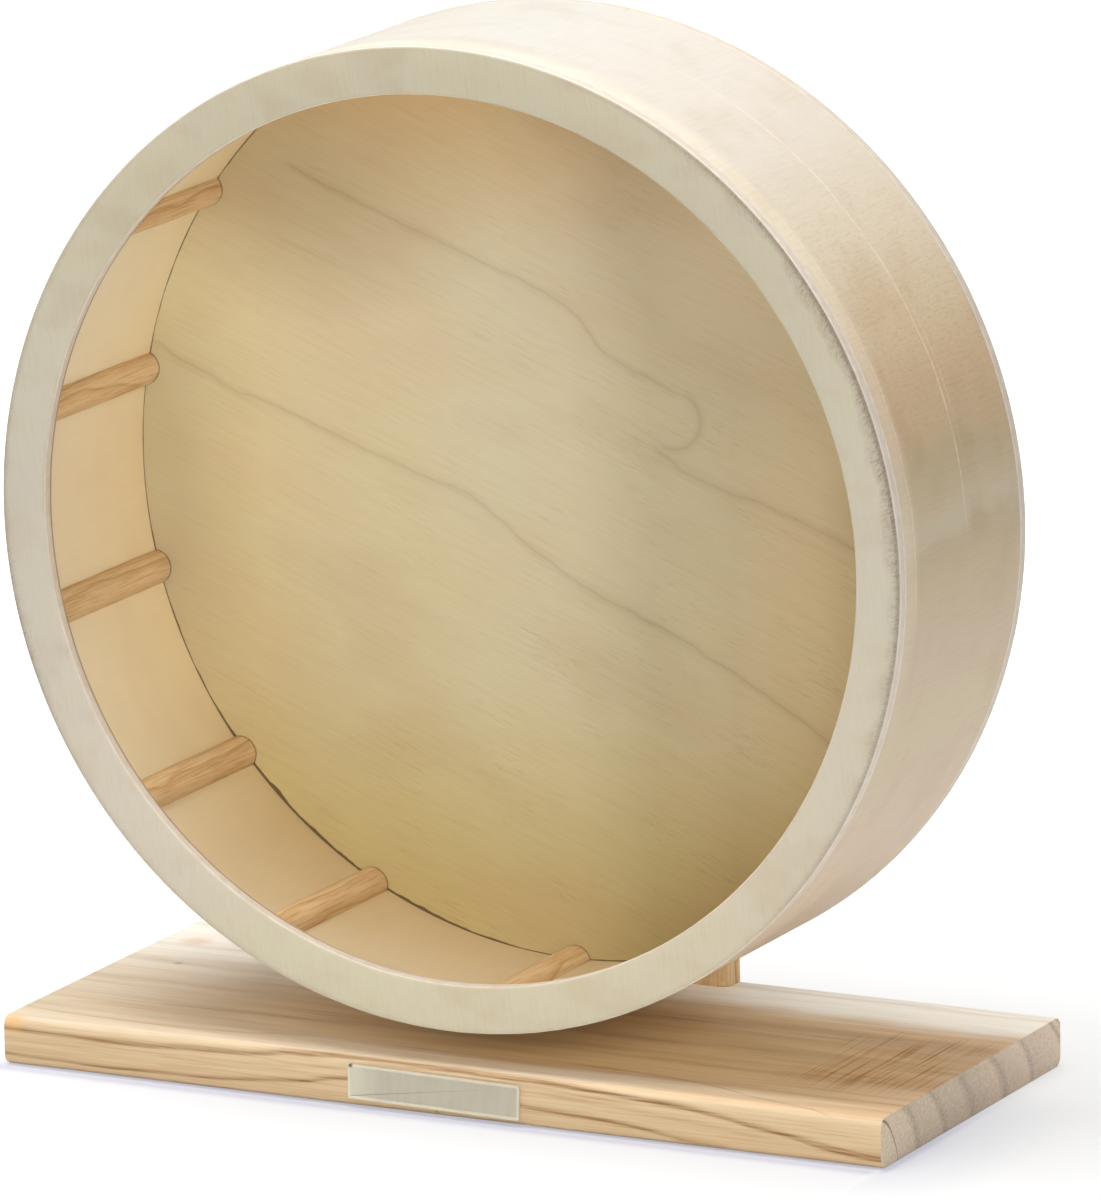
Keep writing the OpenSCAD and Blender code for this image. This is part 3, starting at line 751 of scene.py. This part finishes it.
def stripFoil():
    # satin polyester strip: greyish beige with a soft upright sheen, paler worn edges
    material, tree, place = startMaterial("satinStrip")
    low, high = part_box("label_plate")
    space, x, _, z = inMm(tree, place, (low + high) / 2, (0, -label["tilt"], 0))
    cloud = grit(tree, space, (2.5, 5, 14))
    colour = tones(tree, cloud, [(0.3, "#A49D8B"), (0.7, "#ABA492")])
    colour = mixed(tree, span(tree, x, -16, -24), colour, "#BAB5A0")
    fromMiddle = [counted(tree, "ABSOLUTE", value) for value in (x, z)]
    worn = most(tree, span(tree, fromMiddle[0], 24.9, 25.6), span(tree, fromMiddle[1], 3.8, 4.4))
    colour = mixed(tree, times(tree, worn, 0.6), colour, "#CFC7B3")
    # painted shadow: a small dark spot at the top-left corner, as under a lifted corner
    colour = mixed(tree, nearSpot(tree, x, z, (-25.2, 4.5), (0.9, 0.9)), colour, "#2E2A22")
    endMaterial(tree, colour, 0.42, cloud, 0.02, {"Specular IOR Level": 0.45})
    return material


pineStops = [(0.0, "#DDBE92"), (0.35, "#DABA8C"), (0.72, "#CDA97A"), (0.88, "#AE8757"),
             (0.93, "#B48E5F"), (1.0, "#DEC096")]
pineFibres = [(0.3, "#D2C3AE"), (0.5, "#F6F1E9"), (0.6, "#FFFFFF")]
postPine = {
    "pith": (20 * mm, 150 * mm, 0), "turn": (0, 90, 0), "waver": (90, 60, 60),
    "push": 6, "year": 7,
    "yearShades": [(0.0, "#FFE3BA"), (0.5, "#FFDCAE"), (0.82, "#EBC28A"),
                   (0.9, "#CFA066"), (1.0, "#FFE3BA")],
    "fibre": (22, 0.5, 0.5), "fibreShades": pineFibres,
}
rungPine = {
    "pith": (31 * mm, 0, 77 * mm), "turn": (0, 0, 90), "waver": (50, 14, 14),
    "push": 5, "year": 3.6,
    "yearShades": [(0.0, "#E2C599"), (0.5, "#DFC094"), (0.82, "#D5B182"),
                   (0.9, "#C8A272"), (1.0, "#E2C599")],
    "fibre": (14, 0.4, 0.4), "fibreShades": [(0.3, "#DCCBB2"), (0.5, "#FAF7F1"), (0.6, "#FFFFFF")],
    "shadowedEnd": discLow.y / mm,  # painted shade in the corner where the rungs meet the disc
}
hubPine = {
    "pith": (9 * mm, 0, 190 * mm), "turn": (0, 0, 90), "waver": (60, 30, 30),
    "push": 3, "year": 4.5, "yearShades": pineStops, "fibre": (12, 0.4, 0.4),
    "fibreShades": pineFibres,
}
zincLook = {"speck": (1.6, 1.6, 1.6), "tones": [(0.3, "#9DA0A4"), (0.7, "#C2C5C8")],
            "rough": (0.28, 0.42), "depth": 0.01}
bearingLook = {"speck": (0.8, 0.8, 0.8), "tones": [(0.3, "#A6A8AB"), (0.7, "#B9BBBE")],
               "rough": (0.14, 0.22), "depth": 0.004}


# Shapes

def newPiece(bm, name, body, slot, replaced, corner=30):
    bmesh.ops.remove_doubles(bm, verts=bm.verts, dist=weld)
    bmesh.ops.recalc_face_normals(bm, faces=bm.faces)
    mesh = bpy.data.meshes.new(name)
    bm.to_mesh(mesh)
    bm.free()
    mesh.shade_smooth()
    mesh.set_sharp_from_angle(angle=math.radians(corner))
    mesh.materials.append(bySlot[slot])
    piece = bpy.data.objects.new(name, mesh)
    bpy.context.scene.collection.objects.link(piece)
    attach(piece, body)
    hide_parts(*replaced)


def spinOutline(corners, steps, sweep=math.tau):
    # corners are (distance from the axle, y); the outline is closed unless it starts on the axle
    bm = bmesh.new()
    points = [bm.verts.new((radius, y, axle.z)) for radius, y in corners]
    pairs = list(zip(points, points[1:]))
    if corners[0][0] > 0:
        pairs.append((points[-1], points[0]))
    edges = [bm.edges.new(pair) for pair in pairs]
    bmesh.ops.spin(bm, geom=points + edges, cent=axle, axis=(0, 1, 0), angle=sweep,
                   steps=steps, use_merge=sweep == math.tau)
    bmesh.ops.remove_doubles(bm, verts=bm.verts, dist=weld)
    bmesh.ops.recalc_face_normals(bm, faces=bm.faces)
    return bm


def easeEdges(bm, chosen, offset, segments):
    edges = [edge for edge in bm.edges if len(edge.link_faces) == 2
             and edge.calc_face_angle() > math.radians(leastTurn) and chosen(edge)]
    bmesh.ops.bevel(bm, geom=edges, offset=offset, affect="EDGES", segments=segments,
                    profile=0.5, material=-1)


def pushOut(bm, faces, vec):
    # the faces become a solid that reaches as far as vec; gives its new end
    grown = bmesh.ops.extrude_face_region(bm, geom=faces)["geom"]
    moved = [item for item in grown if isinstance(item, bmesh.types.BMVert)]
    bmesh.ops.translate(bm, verts=moved, vec=vec)
    return [item for item in grown if isinstance(item, bmesh.types.BMFace)]


def fromAxle(point):
    return math.hypot(point.x, point.z - axle.z)


ring = {"width": 13 * mm, "ease": 0.8 * mm, "steps": 360}


def addRing():
    inner = wheelRadius - ring["width"]
    bm = spinOutline([(inner, ringLow.y), (wheelRadius, ringLow.y),
                      (wheelRadius, ringHigh.y), (inner, ringHigh.y)], ring["steps"])
    easeEdges(bm, lambda edge: edge.verts[0].co.y < ringLow.y + 1 * mm, ring["ease"], 4)
    newPiece(bm, "frontRing", "wheel", "ring_plywood", ["front_ring"])
    print("front ring made")


skin = {"thick": 2 * mm, "steps": 360, "rows": 9, "joint": 194.5, "gap": 0.3 * mm}


def addSkin():
    inner = wheelRadius - skin["thick"]
    gap = skin["gap"] / wheelRadius
    rows = [skinLow.y + (skinHigh.y - skinLow.y) * i / skin["rows"] for i in range(skin["rows"] + 1)]
    outline = [(wheelRadius, y) for y in rows] + [(inner, y) for y in reversed(rows)]
    bm = spinOutline(outline, skin["steps"], math.tau - gap)
    ends = [edge for edge in bm.edges if len(edge.link_faces) == 1]
    bmesh.ops.holes_fill(bm, edges=ends, sides=0)
    turn = Matrix.Rotation(-math.radians(skin["joint"]) - gap / 2, 4, "Y")
    bmesh.ops.rotate(bm, verts=bm.verts, cent=axle, matrix=turn)
    newPiece(bm, "drumSkin", "wheel", "bent_veneer", ["rim_skin"])
    print("bent skin made")


disc = {"ease": 0.8 * mm, "steps": 360, "loop": 0.4}


def addDisc():
    loop = wheelRadius * disc["loop"]
    bm = spinOutline([(0, discLow.y), (loop, discLow.y), (wheelRadius, discLow.y),
                      (wheelRadius, discHigh.y), (loop, discHigh.y), (0, discHigh.y)], disc["steps"])
    easeEdges(bm, lambda edge: edge.verts[0].co.y > discHigh.y - 1 * mm, disc["ease"], 4)
    newPiece(bm, "backDisc", "wheel", "disc_plywood", ["back_disc"])
    print("back disc made")


rungs = {"round": 4.8 * mm, "high": 4 * mm, "sides": 32, "lengths": 14, "wear": 0.12 * mm,
         "waver": (300, 60, 300)}    # wear per metre: round the rung, along it, round it


def addRungs():
    inner = wheelRadius - skin["thick"]
    names = sorted(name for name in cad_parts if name.startswith("rung_"))
    for number, name in enumerate(names, 1):
        corners = [v.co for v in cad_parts[name].data.vertices]
        middle = sum(corners, Vector()) / len(corners)
        angle = math.atan2(middle.z - axle.z, middle.x)
        low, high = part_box(name)
        bm = bmesh.new()
        centre = inner - rungs["high"] + rungs["round"]
        lie = Matrix.Translation((centre, low.y, 0)) @ Matrix.Rotation(math.pi / 2, 4, "X")
        bmesh.ops.create_circle(bm, cap_ends=True, radius=rungs["round"], segments=rungs["sides"],
                                matrix=lie)
        bmesh.ops.bisect_plane(bm, geom=bm.verts[:] + bm.edges[:] + bm.faces[:],
                               plane_co=(inner, 0, 0), plane_no=(1, 0, 0), clear_outer=True)
        step = (high.y - low.y) / rungs["lengths"]
        face = bm.faces[:]
        for _ in range(rungs["lengths"]):
            grown = pushOut(bm, face, (0, step, 0))
            bmesh.ops.delete(bm, geom=face, context="FACES_ONLY")
            face = grown
        for v in bm.verts:
            if v.co.x < inner - 0.2 * mm:
                spot = v.co * Vector(rungs["waver"]) + Vector((0, number * 7, 0))
                v.co.x += rungs["wear"] * (noise.noise(spot) + 0.6)
        turn = Matrix.Rotation(-angle, 4, "Y")
        bmesh.ops.rotate(bm, verts=bm.verts, cent=(0, 0, 0), matrix=turn)
        bmesh.ops.translate(bm, verts=bm.verts, vec=axle)
        newPiece(bm, f"rungStrip{number:02d}", "wheel", "rung_pine", [name], corner=50)
    print(len(names), "rungs made")


board = {"round": 3 * mm, "ends": 0.5 * mm}


def addBoard():
    size = boardHigh - boardLow
    bm = bmesh.new()
    bmesh.ops.create_cube(bm, size=1.0)
    bmesh.ops.scale(bm, verts=bm.verts, vec=size)
    bmesh.ops.translate(bm, verts=bm.verts, vec=(boardLow + boardHigh) / 2)
    easeEdges(bm, lambda edge: abs(edge.verts[0].co.x - edge.verts[1].co.x) > size.x / 2,
              board["round"], 8)
    easeEdges(bm, lambda edge: abs(edge.verts[0].co.x - edge.verts[1].co.x) < 1 * mm,
              board["ends"], 2)
    newPiece(bm, "pineBoard", "stand", "pine_board", ["base_board"])
    print("base board made")


post = {"edge": 3 * mm, "margin": 0.4 * mm, "corner": 14 * mm, "hole": 4.05 * mm, "steps": 48}


def addPost():
    low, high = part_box("upright_post")
    bm = bmesh.new()
    corners = [bm.verts.new((x, low.y, z)) for x, z in (
        (low.x, low.z), (high.x, low.z), (high.x, high.z), (low.x, high.z))]
    for pair in zip(corners, corners[1:] + corners[:1]):
        bm.edges.new(pair)
    bmesh.ops.bevel(bm, geom=corners[2:], offset=post["corner"], affect="VERTICES", segments=10,
                    profile=0.5, material=-1)
    # a narrow margin is kept round the face, so that the rounding stays clear of the bolt hole's faces
    face = bmesh.ops.contextual_create(bm, geom=bm.edges[:])["faces"]
    bmesh.ops.inset_region(bm, faces=face, thickness=post["edge"] + post["margin"],
                           use_even_offset=True, use_boundary=True)
    rim = list(face[0].edges)
    bmesh.ops.delete(bm, geom=face, context="FACES_ONLY")
    spot = Matrix.Translation((0, low.y, axle.z)) @ Matrix.Rotation(math.pi / 2, 4, "X")
    made = bmesh.ops.create_circle(bm, radius=post["hole"], segments=post["steps"], matrix=spot)["verts"]
    hole = [edge for edge in bm.edges if edge.verts[0] in made]
    bmesh.ops.triangle_fill(bm, use_beauty=True, edges=rim + hole)
    pushOut(bm, bm.faces[:], (0, high.y - low.y, 0))
    bmesh.ops.recalc_face_normals(bm, faces=bm.faces)
    easeEdges(bm, lambda edge: min(v.co.z for v in edge.verts) > low.z - 1 * mm
              and max(v.co.z for v in edge.verts) > low.z + 1 * mm
              and abs(edge.verts[0].co.y - edge.verts[1].co.y) < 1 * mm
              and fromAxle(edge.verts[0].co) > 2 * post["hole"], post["edge"], 6)
    newPiece(bm, "uprightPost", "stand", "post_wood", ["upright_post"])
    print("post made")


label = {"long": 52 * mm, "high": 9.6 * mm, "round": 0.6 * mm, "tilt": -0.8, "rim": 0.5 * mm,
         "slope": 0.25 * mm, "sunk": 0.18 * mm}


def addLabel():
    low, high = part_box("label_plate")
    bm = bmesh.new()
    bmesh.ops.create_grid(bm, x_segments=1, y_segments=1, size=0.5)
    bmesh.ops.scale(bm, verts=bm.verts, vec=(label["long"], label["high"], 1))
    bmesh.ops.bevel(bm, geom=bm.verts[:], offset=label["round"], affect="VERTICES", segments=4,
                    profile=0.5, material=-1)
    pushOut(bm, bm.faces[:], (0, 0, high.y - low.y))
    bmesh.ops.recalc_face_normals(bm, faces=bm.faces)
    bm.faces.ensure_lookup_table()
    face = max(bm.faces, key=lambda f: f.calc_center_median().z)
    bmesh.ops.inset_region(bm, faces=[face], thickness=label["rim"], use_even_offset=True)
    bmesh.ops.inset_region(bm, faces=[face], thickness=label["slope"], depth=-label["sunk"])
    lie = Matrix.Translation(((low.x + high.x) / 2, high.y, (low.z + high.z) / 2))
    lie = lie @ Matrix.Rotation(math.radians(label["tilt"]), 4, "Y").inverted()
    lie = lie @ Matrix.Rotation(math.pi / 2, 4, "X")
    bmesh.ops.transform(bm, matrix=lie, verts=bm.verts)
    newPiece(bm, "bareLabel", "stand", "label_strip", ["label_plate"])
    print("label made")


bolt = {
    "across": 13 * mm, "head": 5.3 * mm, "round": 3.95 * mm, "steps": 64,
    "sunk": 0.2 * mm,            # how far the shank reaches into the head
    "tip": 0.4 * mm,             # chamfer at its end
    "threadStart": 58.5 * mm, "runOut": 0.6 * mm, "pitch": 1.25 * mm, "deep": 0.62 * mm,
    "root": 0.05 * mm, "sides": 48,
    # where the ridge's foot and crest lie, as shares of the pitch
    "foot": (0.1, 0.9), "crest": (0.44, 0.56),
}


def addBolt():
    # hex head, plain shank and a rolled thread that is wound as one ramp
    corner = bolt["across"] / 2 / math.cos(math.pi / 6)
    bm = bmesh.new()
    lie = Matrix.Translation((0, boltLow.y, axle.z)) @ Matrix.Rotation(-math.pi / 2, 4, "X")
    bmesh.ops.create_circle(bm, cap_ends=True, radius=corner, segments=6, matrix=lie)
    pushOut(bm, bm.faces[:], (0, bolt["head"], 0))
    bmesh.ops.recalc_face_normals(bm, faces=bm.faces)
    core = bolt["round"] - bolt["deep"]
    start = bolt["threadStart"]
    tip = boltHigh.y
    under = boltLow.y + bolt["head"] - bolt["sunk"]
    outline = [(0, under), (bolt["round"], under), (bolt["round"], start),
               (core, start + bolt["runOut"]), (core, tip - bolt["tip"]), (core - bolt["tip"], tip),
               (0, tip)]
    shank = spinOutline(outline, bolt["steps"])
    mesh = bpy.data.meshes.new("shank")
    shank.to_mesh(mesh)
    shank.free()
    bm.from_mesh(mesh)
    bpy.data.meshes.remove(mesh)
    turns = int((tip - 0.3 * mm - start) / bolt["pitch"])
    sides = bolt["sides"]
    root = core - bolt["root"]
    ridge = [(root, 0), (core, bolt["foot"][0]), (bolt["round"], bolt["crest"][0]),
             (bolt["round"], bolt["crest"][1]), (core, bolt["foot"][1]), (root, 1)]
    points = [bm.verts.new((radius, start + share * bolt["pitch"], axle.z)) for radius, share in ridge]
    edges = [bm.edges.new(pair) for pair in zip(points, points[1:] + points[:1])]
    bmesh.ops.spin(bm, geom=points + edges, cent=axle, axis=(0, 1, 0), angle=math.tau * (turns - 1),
                   steps=sides * (turns - 1), dvec=(0, bolt["pitch"] / sides, 0), use_merge=False)
    bmesh.ops.holes_fill(bm, edges=[e for e in bm.edges if len(e.link_faces) == 1], sides=0)
    newPiece(bm, "axleBolt", "stand", "zinc_steel", ["axle_bolt"])
    print("bolt made")


addShot()
addStudio()
print("camera and studio set")

bySlot = {
    "pine_board": planedBoard(),
    "post_wood": pineWood("planedPinePost", postPine),
    "ring_plywood": ringPlywood(),
    "bent_veneer": bentVeneer(),
    "disc_plywood": discPlywood(),
    "rung_pine": pineWood("splitPineDowel", rungPine),
    "hub_wood": pineWood("turnedPine", hubPine),
    "label_strip": stripFoil(),
    "zinc_steel": brushedMetal("zincPlatedSteel", zincLook),
    "bearing_steel": brushedMetal("groundBearingSteel", bearingLook),
    "nylon_cage": cageNylon(),
}
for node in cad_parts.values():
    for place in node.material_slots:
        place.material = bySlot[place.material.name.split(".")[0]]
print("materials made")

addRing()
addSkin()
addDisc()
addRungs()
addBoard()
addPost()
addLabel()
addBolt()
